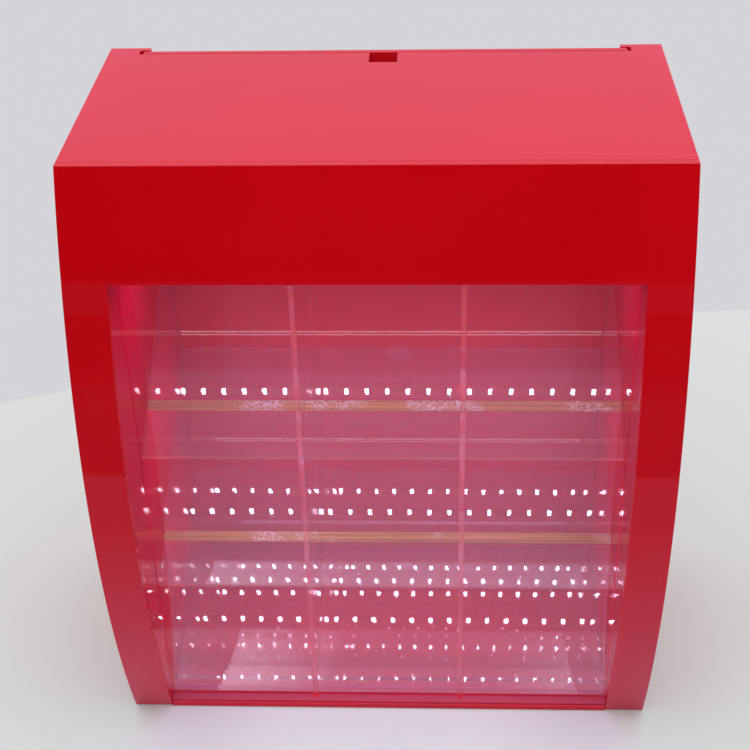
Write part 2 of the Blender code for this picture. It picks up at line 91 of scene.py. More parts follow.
# Painted shade that only gloss and clear sheets see: the table darkens away from the case, to near
# black past FAR_EDGE.
LOST_TABLE = (0.010, 0.010, 0.012)
FAR_TABLE = (0.085, 0.082, 0.11)
DIM_TABLE = (0.27, 0.255, 0.40)
NEAR_TABLE = (0.72, 0.68, 1.0)
FAR_EDGE = -0.53
BACKDROP = (0.665, 0.658, 0.694)
MIRROR_TINT = (1.0, 0.96, 1.28, 1)
OVERHEAD = (1.6, 1.6, 1.6)
ZENITH = (0.25, 0.25, 0.26)
CEILING_NEAR = (1.55, 1.50, 1.50)
CEILING_FAR = (0.75, 0.72, 0.72)
LAMPS_NEAR = (2.6, 2.5, 2.3)
LAMPS_LEFT = (3.4, 3.3, 3.0)
LAMPS_RIGHT = (2.7, 2.6, 2.4)
GLOOM = (0.010, 0.010, 0.012)
BELOW = (0.10, 0.10, 0.11)
TABLE_REAR = ((3.0, 0.56), (0.7, 0.545), (0.386, 0.530), (0.330, 0.526), (-0.327, 0.375),
              (-0.356, 0.364), (-0.415, 0.343), (-0.6, 0.285), (-1.0, 0.19), (-3.0, 0.05))
TABLE_FRONT = ((-3.0, -4.0), (3.0, -4.0))
# Each pair is where a blend starts and ends: places on the table, or parts of a ray's direction.
ASIDE_FADES = (0.21, 0.06)
FURTHER_FADES = (-0.26, -0.15)
TURNS_BEFORE = (0.15, -0.12)
LEFT_TO_RIGHT = (-0.5, 0.5)
MIRRORED_FADES = (-0.42, -0.03)
LOST_FADES = (-1.5, -0.8)
EDGE_BLUR = 0.012
FRONT_ARC = (0.05, 0.45)
WALL_TO_CEILING = (0.45, 0.8)
FLOOR_TO_GLOOM = (-0.02, 0.0)
GLOOM_TO_CEILING = (0.34, 0.75)
ZENITH_RISE = (0.975, 0.99)
ZENITH_AHEAD = (0.11, 0.05)
LAMPS_RISE = (0.90, 0.93)
LAMPS_START = (0.11, 0.13)
LAMPS_FURTHER = (0.17, 0.22)
LEFT_LAMP_FADES = (0.06, 0.14)
RIGHT_LAMP_FADES = (0.02, 0.12)
FILL_PLACE = Vector((0.0, -1.2, 1.5))
FILL_AIM = Vector((0.0, -0.1, 0.0))
FILL_SIZE = (1.2, 1.0)
FILL_POWER = 1.5


def node(tree, kind, place=(0, 0), **values):
    """Add a node and set its plain properties and its sockets by name."""
    made = tree.nodes.new(kind)
    made.location = place
    for key, value in values.items():
        if key in made.inputs:
            made.inputs[key].default_value = value
        else:
            setattr(made, key, value)
    return made


def blank_material(name):
    """An empty node material with its output."""
    material = bpy.data.materials.new(name)
    material.use_nodes = True
    material.node_tree.nodes.clear()
    tree = material.node_tree
    output = node(tree, "ShaderNodeOutputMaterial", (600, 0))
    return material, tree, output


def soft_step(tree, value, low, high):
    """A smooth 0 to 1 ramp of a value between two limits."""
    ramp = node(tree, "ShaderNodeMapRange", interpolation_type="SMOOTHSTEP")
    ramp.inputs["From Min"].default_value = low
    ramp.inputs["From Max"].default_value = high
    tree.links.new(value, ramp.inputs["Value"])
    return ramp.outputs["Result"]


def blend_colours(tree, factor, first, second):
    """Mix two colours, each a plain colour or a socket."""
    mix = node(tree, "ShaderNodeMix", data_type="RGBA")
    tree.links.new(factor, mix.inputs["Factor"])
    for socket, colour in ((mix.inputs[6], first), (mix.inputs[7], second)):
        if hasattr(colour, "default_value"):
            tree.links.new(colour, socket)
        else:
            socket.default_value = (*colour[:3], 1)
    return mix.outputs[2]


def arithmetic(tree, operation, first, second):
    """A Math node of two values, each a number or a socket."""
    made = node(tree, "ShaderNodeMath", operation=operation)
    for socket, value in zip(made.inputs, (first, second)):
        if hasattr(value, "default_value"):
            tree.links.new(value, socket)
        else:
            socket.default_value = value
    return made.outputs[0]


def mirrored_or_through(tree):
    """1 on a ray that gloss or clear sheet has sent on, and 0 on others."""
    path = node(tree, "ShaderNodeLightPath")
    return arithmetic(tree, "MAXIMUM", path.outputs["Is Glossy Ray"],
                      path.outputs["Is Transmission Ray"])


def light_world():
    """World light by direction: wall all round, brighter overhead, gloom ahead at eye level. The
    shelves mirror two lamps on the ceiling, and the camera sees the wall's tone everywhere."""
    world = bpy.data.worlds.new("soft room")
    bpy.context.scene.world = world
    world.use_nodes = True
    tree = world.node_tree
    tree.nodes.clear()
    direction = node(tree, "ShaderNodeTexCoord")
    parts = node(tree, "ShaderNodeSeparateXYZ")
    tree.links.new(direction.outputs["Generated"], parts.inputs["Vector"])
    rise = parts.outputs["Z"]
    ahead = arithmetic(tree, "MULTIPLY", parts.outputs["Y"], -1.0)
    is_front = soft_step(tree, ahead, *FRONT_ARC)
    behind = blend_colours(tree, soft_step(tree, rise, *WALL_TO_CEILING), BACKDROP, OVERHEAD)
    level = blend_colours(tree, soft_step(tree, rise, *FLOOR_TO_GLOOM), BELOW, GLOOM)
    before = blend_colours(tree, soft_step(tree, rise, *GLOOM_TO_CEILING), level, OVERHEAD)
    room = blend_colours(tree, is_front, behind, before)
    seen = mirrored_or_through(tree)
    zenith = arithmetic(tree, "MULTIPLY", soft_step(tree, rise, *ZENITH_RISE),
                        soft_step(tree, ahead, *ZENITH_AHEAD))
    zenith = arithmetic(tree, "MULTIPLY", zenith, seen)
    colour = blend_colours(tree, zenith, room, ZENITH)
    path = node(tree, "ShaderNodeLightPath")
    through = arithmetic(tree, "MULTIPLY", path.outputs["Is Transmission Ray"],
                         soft_step(tree, rise, *LAMPS_RISE))
    through = arithmetic(tree, "MULTIPLY", through, soft_step(tree, ahead, *LAMPS_START))
    further = soft_step(tree, ahead, *LAMPS_FURTHER)
    rightward = parts.outputs["X"]
    leftward = arithmetic(tree, "MULTIPLY", rightward, -1.0)
    plain = blend_colours(tree, further, CEILING_NEAR, CEILING_FAR)
    left_lamp = blend_colours(tree, further, LAMPS_NEAR, LAMPS_LEFT)
    right_lamp = blend_colours(tree, further, CEILING_NEAR, LAMPS_RIGHT)
    lamps = blend_colours(tree, soft_step(tree, leftward, *LEFT_LAMP_FADES), plain, left_lamp)
    lamps = blend_colours(tree, soft_step(tree, rightward, *RIGHT_LAMP_FADES), lamps, right_lamp)
    colour = blend_colours(tree, through, colour, lamps)
    tint = node(tree, "ShaderNodeMix", data_type="RGBA", blend_type="MULTIPLY")
    tree.links.new(seen, tint.inputs["Factor"])
    tree.links.new(colour, tint.inputs[6])
    tint.inputs[7].default_value = MIRROR_TINT
    shown = blend_colours(tree, path.outputs["Is Camera Ray"], tint.outputs[2], BACKDROP)
    background = node(tree, "ShaderNodeBackground")
    output = node(tree, "ShaderNodeOutputWorld")
    tree.links.new(shown, background.inputs["Color"])
    tree.links.new(background.outputs[0], output.inputs["Surface"])


def table_finish():
    """Pale paper-smooth table, painted against the pink light that falls out of the window: lighter
    and cyan-tinted before the case. Gloss and clear sheets meet it with painted shade, dimmer away
    from the case."""
    material, tree, output = blank_material("table")
    where = node(tree, "ShaderNodeTexCoord")
    parts = node(tree, "ShaderNodeSeparateXYZ")
    tree.links.new(where.outputs["Object"], parts.inputs[0])
    depth = parts.outputs["Y"]
    # Painted shade for mirrored rays: dimmer away from the case, dark beyond the far edge.
    lit = blend_colours(tree, soft_step(tree, depth, *MIRRORED_FADES), DIM_TABLE, NEAR_TABLE)
    dark = blend_colours(tree, soft_step(tree, depth, *LOST_FADES), LOST_TABLE, FAR_TABLE)
    far = soft_step(tree, depth, FAR_EDGE - EDGE_BLUR, FAR_EDGE + EDGE_BLUR)
    mirrored = blend_colours(tree, far, dark, lit)
    sideways = soft_step(tree, parts.outputs["X"], *LEFT_TO_RIGHT)
    behind = blend_colours(tree, sideways, TABLE_LEFT, TABLE_RIGHT)
    # Painted light: lighter and cyan-tinted before the case, plainer aside and further out.
    before = soft_step(tree, depth, *TURNS_BEFORE)
    aside = arithmetic(tree, "ABSOLUTE", parts.outputs["X"], 0.0)
    front_tone = blend_colours(tree, soft_step(tree, aside, *ASIDE_FADES), BESIDE_FRONT,
                               BEFORE_FRONT)
    front_tone = blend_colours(tree, soft_step(tree, depth, *FURTHER_FADES), FURTHER_FRONT,
                               front_tone)
    plain = blend_colours(tree, before, behind, front_tone)
    cloud = node(tree, "ShaderNodeTexNoise", Scale=2.5, Detail=2.0)
    tree.links.new(where.outputs["Object"], cloud.inputs["Vector"])
    faint = arithmetic(tree, "MULTIPLY", cloud.outputs["Fac"], 0.03)
    pale = blend_colours(tree, faint, plain, (0.5, 0.5, 0.5))
    colour = blend_colours(tree, mirrored_or_through(tree), pale, mirrored)
    shader = node(tree, "ShaderNodeBsdfPrincipled", Roughness=0.7)
    shader.inputs["Specular IOR Level"].default_value = 0.1
    tree.links.new(colour, shader.inputs["Base Color"])
    tree.links.new(shader.outputs[0], output.inputs[0])
    return material


def make_table():
    """A level sheet at the case's feet, whose far edge runs a little aslant."""
    corners = [(x, y, 0.0) for x, y in TABLE_FRONT + TABLE_REAR]
    mesh = bpy.data.meshes.new("table")
    mesh.from_pydata(corners, [], [tuple(range(len(corners)))])
    mesh.materials.append(table_finish())
    table = bpy.data.objects.new("table", mesh)
    bpy.context.scene.collection.objects.link(table)


def make_fill():
    """A soft lamp ahead of the case, which no mirror or clear sheet shows."""
    lamp = bpy.data.lights.new("front fill", "AREA")
    lamp.shape = "RECTANGLE"
    lamp.size, lamp.size_y = FILL_SIZE
    lamp.energy = FILL_POWER
    fill = bpy.data.objects.new("front fill", lamp)
    turn = (FILL_AIM - FILL_PLACE).to_track_quat("-Z", "Y").to_matrix().to_4x4()
    fill.matrix_world = Matrix.Translation(FILL_PLACE) @ turn
    fill.visible_camera = False
    fill.visible_glossy = False
    fill.visible_transmission = False
    bpy.context.scene.collection.objects.link(fill)


light_world()
make_table()
make_fill()
bpy.context.scene.view_settings.view_transform = "Standard"
cycles = bpy.context.scene.cycles
cycles.max_bounces = 24
cycles.transmission_bounces = 24
cycles.glossy_bounces = 12
cycles.diffuse_bounces = 5
cycles.transparent_max_bounces = 48
cycles.sample_clamp_indirect = 0


# Bowed frame: one red acrylic sheet, heated and bent over a form, with the window cut out of it.
# Its polished face mirrors the table below its middle and the gloom of the room above it.
SHEET = 0.005
SWELL = 0.044
LEG = 0.0293
BAND = 0.0725
EASED = 0.0004
RED = (0.68, 0.0020, 0.0075)
RED_DEEP = (0.64, 0.0014, 0.0060)
ARC_ROWS = 120
BAND_ROWS = 24

low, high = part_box("fascia_front")
height = high.z
half_width = high.x
front = low.y + SWELL
bow_radius = (height ** 2 / 4 + SWELL ** 2) / (2 * SWELL)


def acrylic_group():
    """Effect shared by all sheets: slow change of tint, wiped smudges, fine scratches and dust."""
    group = bpy.data.node_groups.new("handled sheet", "ShaderNodeTree")
    face = group.interface
    for name, kind, value in (
            ("Colour", "NodeSocketColor", (0.6, 0.01, 0.01, 1)),
            ("Deep Colour", "NodeSocketColor", (0.5, 0.01, 0.01, 1)),
            ("Gloss", "NodeSocketFloat", 0.05),
            ("Smudge", "NodeSocketFloat", 0.1),
            ("Scratch", "NodeSocketFloat", 0.05),
            ("Wave", "NodeSocketFloat", 0.3)):
        socket = face.new_socket(name, in_out="INPUT", socket_type=kind)
        socket.default_value = value
    for name, kind in (("Colour", "NodeSocketColor"), ("Roughness", "NodeSocketFloat"),
                       ("Height", "NodeSocketFloat")):
        face.new_socket(name, in_out="OUTPUT", socket_type=kind)
    given = node(group, "NodeGroupInput", (-900, 0))
    result = node(group, "NodeGroupOutput", (700, 0))
    where = node(group, "ShaderNodeTexCoord", (-900, -300))
    slow = node(group, "ShaderNodeTexNoise", (-600, 200), Scale=7.0, Detail=2.0)
    wiped = node(group, "ShaderNodeTexNoise", (-600, 0), Scale=38.0, Detail=5.0, Distortion=1.2)
    stretched = node(group, "ShaderNodeMapping", (-750, -300))
    stretched.inputs["Scale"].default_value = (900, 30, 30)
    stretched.inputs["Rotation"].default_value = (0.3, 0.5, 0.4)
    scratch = node(group, "ShaderNodeTexNoise", (-600, -300), Scale=1.0, Detail=3.0)
    wave = node(group, "ShaderNodeTexNoise", (-600, -500), Scale=16.0, Detail=1.0)
    for noise in (slow, wiped, wave):
        group.links.new(where.outputs["Object"], noise.inputs["Vector"])
    group.links.new(where.outputs["Object"], stretched.inputs["Vector"])
    group.links.new(stretched.outputs[0], scratch.inputs["Vector"])
    tint = blend_colours(group, soft_step(group, slow.outputs["Fac"], 0.35, 0.7),
                         given.outputs["Colour"], given.outputs["Deep Colour"])
    group.links.new(tint, result.inputs["Colour"])
    smudge = node(group, "ShaderNodeMath", (0, 0), operation="MULTIPLY")
    group.links.new(soft_step(group, wiped.outputs["Fac"], 0.52, 0.75), smudge.inputs[0])
    group.links.new(given.outputs["Smudge"], smudge.inputs[1])
    lined = node(group, "ShaderNodeMath", (0, -200), operation="MULTIPLY")
    group.links.new(soft_step(group, scratch.outputs["Fac"], 0.66, 0.74), lined.inputs[0])
    group.links.new(given.outputs["Scratch"], lined.inputs[1])
    rough = node(group, "ShaderNodeMath", (200, 0), operation="ADD")
    group.links.new(smudge.outputs[0], rough.inputs[0])
    group.links.new(lined.outputs[0], rough.inputs[1])
    total = node(group, "ShaderNodeMath", (350, 0), operation="ADD")
    group.links.new(rough.outputs[0], total.inputs[0])
    group.links.new(given.outputs["Gloss"], total.inputs[1])
    group.links.new(total.outputs[0], result.inputs["Roughness"])
    swell = node(group, "ShaderNodeMath", (200, -400), operation="MULTIPLY_ADD")
    group.links.new(wave.outputs["Fac"], swell.inputs[0])
    group.links.new(given.outputs["Wave"], swell.inputs[1])
    group.links.new(lined.outputs[0], swell.inputs[2])
    group.links.new(swell.outputs[0], result.inputs["Height"])
    return group


handled = acrylic_group()


def red_acrylic(name, colour, deep, gloss, shine, wave):
    """Solid red cast acrylic: a deep even red under a polished skin."""
    material, tree, output = blank_material(name)
    effect = node(tree, "ShaderNodeGroup", (-500, 0), node_tree=handled)
    effect.inputs["Colour"].default_value = (*colour, 1)
    effect.inputs["Deep Colour"].default_value = (*deep, 1)
    effect.inputs["Gloss"].default_value = gloss
    effect.inputs["Smudge"].default_value = 0.10
    effect.inputs["Scratch"].default_value = 0.05
    effect.inputs["Wave"].default_value = wave
    relief = node(tree, "ShaderNodeBump", (-200, -200), Strength=0.12, Distance=0.0006)
    shader = node(tree, "ShaderNodeBsdfPrincipled", (100, 0), IOR=1.49)
    shader.inputs["Specular IOR Level"].default_value = shine
    tree.links.new(effect.outputs["Colour"], shader.inputs["Base Color"])
    tree.links.new(effect.outputs["Roughness"], shader.inputs["Roughness"])
    tree.links.new(effect.outputs["Height"], relief.inputs["Height"])
    tree.links.new(relief.outputs[0], shader.inputs["Normal"])
    tree.links.new(shader.outputs[0], output.inputs[0])
    return material


red_face = red_acrylic("red polished face", RED, RED_DEEP, 0.035, 0.5, 0.6)
red_edge = red_acrylic("red sawn edge", (0.62, 0.003, 0.010), RED_DEEP, 0.22, 0.4, 0.2)


def bow_depth(level, inset):
    """Depth of the front at a height: a circle through the top and bottom front edges that
    swells forward by SWELL half way up, less an inset from its outer face."""
    return front + bow_radius - SWELL - np.sqrt((bow_radius - inset) ** 2
                                                 - (level - height / 2) ** 2)


def add_object(name, points, faces, materials, slots):
    """Put arrays of points and faces into a mesh object at the origin."""
    mesh = bpy.data.meshes.new(name)
    mesh.from_pydata(points.tolist(), [], [tuple(face) for face in faces])
    for material in materials:
        mesh.materials.append(material)
    mesh.polygons.foreach_set("material_index", np.asarray(slots, np.int32))
    mesh.validate()
    item = bpy.data.objects.new(name, mesh)
    bpy.context.scene.collection.objects.link(item)
    return item


def ease(item, width):
    """Break the sharp edges of a sheet by a small even rounding."""
    bevel = item.modifiers.new("eased edges", "BEVEL")
    bevel.width = width
    bevel.segments = 2
    bevel.limit_method = "ANGLE"
    bevel.angle_limit = math.radians(40)
    bevel.harden_normals = True
    item.data.shade_smooth()


def masked_sheet(across, up, solid, place):
    """Closed sheet over a grid of cells. solid[i, j] says if cell (i, j) is there, and
    place(x, z, side) gives the points of the outer (side 0) and inner (side 1) face. Walls
    stand where a solid cell meets an empty one."""
    xs, zs = np.meshgrid(across, up, indexing="ij")
    points = np.concatenate([place(xs.ravel(), zs.ravel(), 0), place(xs.ravel(), zs.ravel(), 1)])
    layer = xs.size
    index = np.arange(layer).reshape(xs.shape)
    a, b, c, d = index[:-1, :-1], index[1:, :-1], index[1:, 1:], index[:-1, 1:]
    outer = np.stack([a, b, c, d], -1)[solid]
    inner = np.stack([d, c, b, a], -1)[solid] + layer
    padded = np.pad(solid, 1)
    walls = []
    for shift, (p, q) in (((0, -1), (a, b)), ((1, 0), (b, c)), ((0, 1), (c, d)), ((-1, 0), (d, a))):
        beside = padded[1 + shift[0]:padded.shape[0] - 1 + shift[0],
                        1 + shift[1]:padded.shape[1] - 1 + shift[1]]
        edge = solid & ~beside
        walls.append(np.stack([q, p, p + layer, q + layer], -1)[edge])
    faces = np.concatenate([outer, inner] + walls)
    kinds = np.repeat([0, 1], [len(outer) + len(inner), sum(map(len, walls))])
    used, where = np.unique(faces, return_inverse=True)
    return points[used], where.reshape(faces.shape), kinds


def fascia_place(x, z, side):
    """Points of the bowed frame's outer or inner face."""
    return np.stack([x, bow_depth(z, SHEET * side), z], -1)


inside = half_width - LEG
across = np.array([-half_width, -inside, inside, half_width])
window_top = height - BAND
up = np.concatenate([np.linspace(0, window_top, ARC_ROWS + 1),
                     np.linspace(window_top, height, BAND_ROWS + 1)[1:]])
solid = np.ones((3, len(up) - 1), bool)
solid[1, :ARC_ROWS] = False
points, faces, kinds = masked_sheet(across, up, solid, fascia_place)
fascia = add_object("bowed_frame", points, faces, [red_face, red_edge], kinds)
ease(fascia, EASED)
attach(fascia, "case")
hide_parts("fascia_front")


# Flat red sheets of the case: top with its finger notch and ears, and outer sides. They
# are sawn from the same sheet, glued with solvent, and their faces stay polished.
LIP_COVER = 0.0298
GROOVE_BITE = 0.0071
GROOVE_GAP = 0.0073
NOTCH_WIDTH = 0.020
NOTCH_DEPTH = 0.018
SEAT = 0.0003
EDGE_ROWS = 96

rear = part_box("top_panel")[1].y
strip_front = rear - SHEET
groove_front = strip_front - GROOVE_GAP
groove_side = half_width - LIP_COVER + GROOVE_BITE


def cut_sheet(name, outline, lay, materials):
    """Closed flat sheet: an outline (n, 2) laid twice by lay(a, b, side), with walls between."""
    a, b = np.asarray(outline, float).T
    count = len(a)
    points = np.concatenate([lay(a, b, 0), lay(a, b, 1)])
    ring = np.arange(count)
    following = np.roll(ring, -1)
    walls = np.stack([ring, following, following + count, ring + count], -1)
    faces = [tuple(ring[::-1]), tuple(ring + count)] + walls.tolist()
    item = add_object(name, points, faces, materials, [0, 0] + [1] * count)
    work = item.data
    volume = sum(face.normal.dot(face.center) * face.area for face in work.polygons)
    if volume < 0:
        work.flip_normals()
    return item


def mirrored(right):
    """A plan that is the same on both sides of the middle, from its right half."""
    right = np.asarray(right, float)
    return np.concatenate([right, (right * (-1, 1))[::-1]])


def level_lay(bottom, top, follows):
    """Lay a plan (x, y) at two heights. A point whose y is marked by nan follows the inside of
    the bowed frame at each height."""
    def lay(x, y, side):
        level = top if side else bottom
        depth = np.where(np.isnan(y), bow_depth(level, follows), y)
        return np.stack([x, depth, np.full_like(x, level)], -1)
    return lay


notch = NOTCH_WIDTH / 2
lip = half_width - LIP_COVER
top_plan = mirrored([(half_width, np.nan), (half_width, rear), (lip, rear), (lip, strip_front),
                     (groove_side, strip_front), (groove_side, groove_front),
                     (notch, groove_front), (notch, groove_front - NOTCH_DEPTH)])
ceiling = height - SHEET
top = cut_sheet("top_sheet", top_plan, level_lay(ceiling, height, SHEET + SEAT),
                [red_face, red_edge])

side_top = ceiling - SEAT
levels = np.linspace(0, side_top, EDGE_ROWS + 1)
side_outline = np.concatenate([
    np.stack([bow_depth(levels, SHEET + SEAT), levels], -1),
    [(strip_front - SEAT, side_top), (strip_front - SEAT, 0)]])


def side_lay(start):
    """Lay an outline (y, z) at two places across, one sheet apart."""
    def lay(y, z, side):
        return np.stack([np.full_like(y, start + SHEET * side), y, z], -1)
    return lay


sides = {"left": -half_width, "right": half_width - SHEET}
for hand, start in sides.items():
    side = cut_sheet("outer_side_" + hand, side_outline, side_lay(start), [red_face, red_edge])
    ease(side, EASED)
    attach(side, "case")
    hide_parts("side_panel_" + hand)
ease(top, EASED)
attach(top, "case")
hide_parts("top_panel")


# Floor, inner sides, groove spacers and rear strips: red sheets and bars as they are in the
# frame. They are glued edge on. The floor has a rebate for the feet of the clear sheets, and
# the drilled holes let the leads and the power inlet through.
RED_INSIDE = (0.68, 0.004, 0.038)
red_inside = red_acrylic("red inner face", RED_INSIDE, RED_INSIDE, 0.03, 0.2, 0.0)


def eased_node(name, material, width):
    """Keep a frame node: weld its loose triangles, break its edges and give it a finish."""
    item = nodes[name]
    weld = item.modifiers.new("weld", "WELD")
    weld.merge_threshold = 0.00001
    bevel = item.modifiers.new("eased edges", "BEVEL")
    bevel.width = width
    bevel.segments = 1
    bevel.limit_method = "ANGLE"
    bevel.angle_limit = math.radians(40)
    item.data.materials.clear()
    item.data.materials.append(material)


# Painted shade and reflection on the floor: the lip is darkened in place of the front sheet's
# shade, and the strip behind it adds a pale haze in place of reflected light.
LIP_PAINTED_SHADE = (0.40, 0.008, 0.030)
FOOT_SHADE_AND_HAZE = (0.47, 0.075, 0.125)
FLOOR_RED = (0.55, 0.004, 0.026)
LIP_STARTS = front - 0.0007
HAZE_STRIP_STARTS = front + 0.0008
HAZE_STRIP_ENDS = front + 0.013


def floor_finish():
    """The floor's red. Its lip is a darker red painted for the shade the front sheet casts on it,
    and a strip of painted shade with a pale painted haze lies along the foot of the clear front
    sheet; further in, the floor is a darker red."""
    material = red_acrylic("red floor", RED, RED_DEEP, 0.05, 0.5, 0.0)
    tree = material.node_tree
    shader = next(part for part in tree.nodes if part.type == "BSDF_PRINCIPLED")
    plain = shader.inputs["Base Color"].links[0].from_socket
    where = node(tree, "ShaderNodeTexCoord", (-700, 400))
    parts = node(tree, "ShaderNodeSeparateXYZ", (-500, 400))
    tree.links.new(where.outputs["Object"], parts.inputs[0])
    colour = plain
    # Painted shade on the lip, then painted shade and haze in the strip behind it, then a darker
    # red further in.
    for start, soft, tone in ((LIP_STARTS, 0.0004, LIP_PAINTED_SHADE), (HAZE_STRIP_STARTS, 0.0008, FOOT_SHADE_AND_HAZE),
                              (HAZE_STRIP_ENDS, 0.002, FLOOR_RED)):
        colour = blend_colours(tree, soft_step(tree, parts.outputs["Y"], start, start + soft),
                               colour, tone)
    tree.links.new(colour, shader.inputs["Base Color"])
    return material


eased_node("bottom_panel", floor_finish(), 0.0003)
for hand in ("left", "right"):
    eased_node("inner_side_" + hand, red_inside, 0.0002)
    eased_node("groove_spacer_" + hand, red_face, 0.0002)
    eased_node("rear_strip_" + hand, red_face, 0.0003)


# Rear door: a red sheet with eased upper corners that lifts out of the grooves. Its upper edge
# lies level with the top, where a fingertip reaches it through the notch.
DOOR_CORNER = 0.004
CORNER_STEPS = 8

door_low, door_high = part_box("rear_door")
turn = np.linspace(0, math.pi / 2, CORNER_STEPS + 1)
corner = np.stack([door_high.x - DOOR_CORNER + DOOR_CORNER * np.cos(turn),
                   door_high.z - DOOR_CORNER + DOOR_CORNER * np.sin(turn)], -1)
door_plan = mirrored(np.concatenate([[(door_high.x, door_low.z)], corner]))


def door_lay(x, z, side):
    """Lay the door's outline (x, z) on its front and back faces."""
    return np.stack([x, np.full_like(x, door_high.y if side else door_low.y), z], -1)


door = cut_sheet("lift_out_door", door_plan, door_lay, [red_face, red_edge])
ease(door, EASED)
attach(door, "door")
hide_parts("rear_door")


# Clear sheets: front sheet, light plate, shelves and dividers. Polished cast acrylic whose faces
# mirror the table and the lights. Where a cut edge is cemented to red, the red shows through it;
# a free edge is scraped, scatters a little light and has a painted glow.
CLEAR = 0.004
LEAN = math.radians(0.7)
SLOPE = math.radians(29.5)
SHELF_NOSE = 0.0006
PLATE_CHAMFER = 0.0009
TAPE_SETBACK = 0.046
SLOT_WIDTH = 0.013
SLOT_DEPTH = 0.0035
CLEAR_EASED = 0.0002
CLEAR_TINT = (0.990, 0.972, 0.997)
CLEAR_DEEP = (0.985, 0.965, 0.990)
DIVIDER_TINT = (0.985, 0.930, 0.925)
LIGHT_THROUGH = (0.955, 0.955, 0.957)
SHELF_CLARITY = 0.968
# Painted glow: emission strength on the light plate's sawn rear edge.
EDGE_GLOW = 3.2
# Painted glow: emission strength on the free scraped edges.
FREE_EDGE_GLOW = 1.0
END_GAP = 0.00001
POLISHED, SCRAPED, ON_RED, CEMENTED, FROSTED, PAINTED_HAZE_FOOT = range(6)


def soft_light_passes(tree, shader, output):
    """Let shadow and diffuse rays pass straight on through a clear surface."""
    passage = node(tree, "ShaderNodeBsdfTransparent", (0, -300))
    passage.inputs["Color"].default_value = (*LIGHT_THROUGH, 1)
    path = node(tree, "ShaderNodeLightPath", (-300, 300))
    soft = arithmetic(tree, "MAXIMUM", path.outputs["Is Shadow Ray"],
                      path.outputs["Is Diffuse Ray"])
    choose = node(tree, "ShaderNodeMixShader", (300, 0))
    tree.links.new(soft, choose.inputs[0])
    tree.links.new(shader.outputs[0], choose.inputs[1])
    tree.links.new(passage.outputs[0], choose.inputs[2])
    tree.links.new(choose.outputs[0], output.inputs[0])


def clear_acrylic(name, clarity, polish, tint=CLEAR_TINT, deep=CLEAR_DEEP):
    """Polished face: real refraction for what the eye follows. What clarity leaves is fine dust
    and hairlines, which the light tapes catch, and polish is a flame-polished skin."""
    material, tree, output = blank_material(name)
    effect = node(tree, "ShaderNodeGroup", (-600, 0), node_tree=handled)
    effect.inputs["Colour"].default_value = (*tint, 1)
    effect.inputs["Deep Colour"].default_value = (*deep, 1)
    shader = node(tree, "ShaderNodeBsdfPrincipled", (0, 0), Roughness=0.0, IOR=1.49)
    shader.inputs["Transmission Weight"].default_value = clarity
    shader.inputs["Coat Weight"].default_value = polish
    shader.inputs["Coat Roughness"].default_value = 0.0
    shader.inputs["Coat IOR"].default_value = 1.5
    tree.links.new(effect.outputs["Colour"], shader.inputs["Base Color"])
    soft_light_passes(tree, shader, output)
    return material


def scraped_edge(name, light, dark, cover):
    """Free cut edge of a clear sheet: fine scraper lines that scatter light, and a painted glow, by
    emission of its tone, in place of the light that the sheet carries to its edge. cover is the
    share of the edge that they fill."""
    material, tree, output = blank_material(name)
    where = node(tree, "ShaderNodeTexCoord", (-900, 0))
    lines = node(tree, "ShaderNodeTexNoise", (-600, 0), Scale=500.0, Detail=3.0)
    tree.links.new(where.outputs["Object"], lines.inputs["Vector"])
    rough = node(tree, "ShaderNodeMapRange", (-300, -200))
    rough.inputs["To Min"].default_value = 0.10
    rough.inputs["To Max"].default_value = 0.25
    tree.links.new(lines.outputs["Fac"], rough.inputs["Value"])
    tone = blend_colours(tree, lines.outputs["Fac"], light, dark)
    shader = node(tree, "ShaderNodeBsdfPrincipled", (0, 0), IOR=1.49, Alpha=cover)
    shader.inputs["Emission Strength"].default_value = FREE_EDGE_GLOW
    tree.links.new(tone, shader.inputs["Emission Color"])
    tree.links.new(tone, shader.inputs["Base Color"])
    tree.links.new(rough.outputs[0], shader.inputs["Roughness"])
    tree.links.new(shader.outputs[0], output.inputs[0])
    return material


def cemented_on_red(name, colour):
    """Edge of a clear sheet flooded with solvent on red: the red shows with no gloss between."""
    material, tree, output = blank_material(name)
    effect = node(tree, "ShaderNodeGroup", (-600, 0), node_tree=handled)
    effect.inputs["Colour"].default_value = (*colour, 1)
    effect.inputs["Deep Colour"].default_value = (*colour, 1)
    shader = node(tree, "ShaderNodeBsdfPrincipled", (0, 0), Roughness=0.8)
    shader.inputs["Specular IOR Level"].default_value = 0.0
    tree.links.new(effect.outputs["Colour"], shader.inputs["Base Color"])
    tree.links.new(shader.outputs[0], output.inputs[0])
    return material


def cement_line():
    """Joint of clear on clear: nearly nothing, with a faint haze where the cement was thin."""
    material, tree, output = blank_material("clear cemented joint")
    where = node(tree, "ShaderNodeTexCoord", (-900, 0))
    patches = node(tree, "ShaderNodeTexNoise", (-600, 0), Scale=120.0, Detail=3.0)
    tree.links.new(where.outputs["Object"], patches.inputs["Vector"])
    haze = arithmetic(tree, "MULTIPLY", soft_step(tree, patches.outputs["Fac"], 0.45, 0.75), 0.22)
    shader = node(tree, "ShaderNodeBsdfPrincipled", (0, 0), Roughness=0.5)
    shader.inputs["Base Color"].default_value = (0.85, 0.82, 0.86, 1)
    tree.links.new(haze, shader.inputs["Alpha"])
    tree.links.new(shader.outputs[0], output.inputs[0])
    return material


